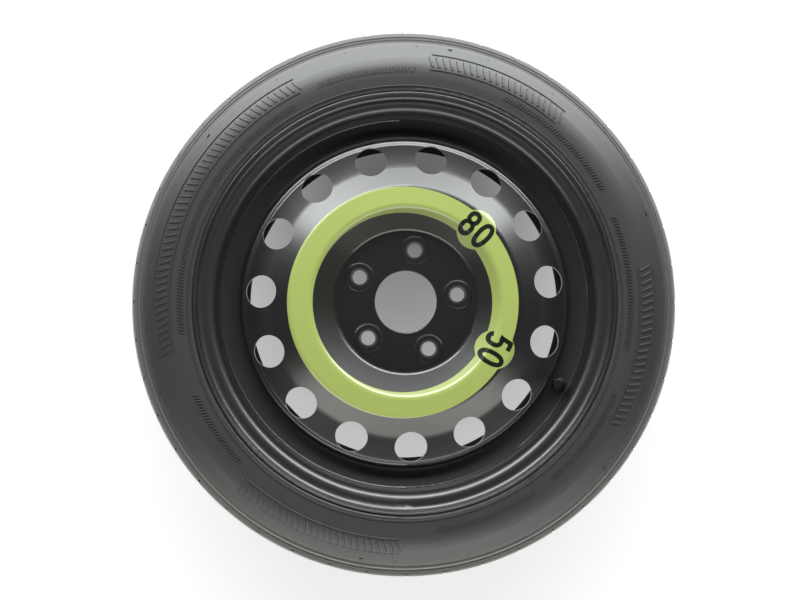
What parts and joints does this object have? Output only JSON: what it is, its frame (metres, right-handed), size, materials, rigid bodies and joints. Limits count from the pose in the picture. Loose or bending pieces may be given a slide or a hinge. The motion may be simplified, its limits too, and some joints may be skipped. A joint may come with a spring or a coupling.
{
  "type": "temporary spare wheel",
  "caption": "Narrow temporary spare wheel: slim tyre on a black pressed-steel rim and domed vented disc with a bright speed-limit ring, hub bore, bolt seats and snap-in valve",
  "frame": {"origin": "centre of the hub bore on the hub mounting face, which is the inboard face of the disc's pad", "axes": "+Z along the wheel axis towards the outboard face, so the wheel lies flat on its inboard sidewall; +Y up in the picture; +X to the right in the picture"},
  "size_m": [0.5808, 0.5808, 0.1328],
  "materials": {
    "tyre_rubber": "matte black moulded rubber",
    "wheel_paint": "gloss black paint on steel sheet",
    "valve_rubber": "smooth black rubber",
    "valve_brass": "turned brass",
    "valve_gasket": "red sealing plastic",
    "spring_steel": "bright spring wire",
    "cap_plastic": "black moulded plastic"
  },
  "bodies": {
    "wheel": {"tyre": "tyre_rubber", "rim": "wheel_paint", "wheel_disc": "wheel_paint", "weld_seams": "wheel_paint", "valve_stem_rubber": "valve_rubber", "valve_stem_insert": "valve_brass", "valve_core_plug": "valve_brass", "valve_core_gasket": "valve_gasket", "valve_core_barrel": "valve_brass", "valve_core_spring": "spring_steel"},
    "cap": {"valve_cap": "cap_plastic", "valve_cap_seal": "valve_rubber"},
    "pin": {"valve_core_pin": "valve_brass", "valve_core_seal": "valve_rubber"}
  },
  "joints": [
    {"name": "cap_off", "type": "slide", "parent": "wheel", "child": "cap", "axis": [-0.245, 0.1303, 0.9607], "range_m": [0, 0.02]},
    {"name": "pin_press", "type": "slide", "parent": "wheel", "child": "pin", "axis": [0.245, -0.1303, -0.9607], "range_m": [0, 0.0012], "stiffness_N_per_m": 1500, "springref_m": -0.002, "deforming": ["valve_core_spring"]}
  ]
}
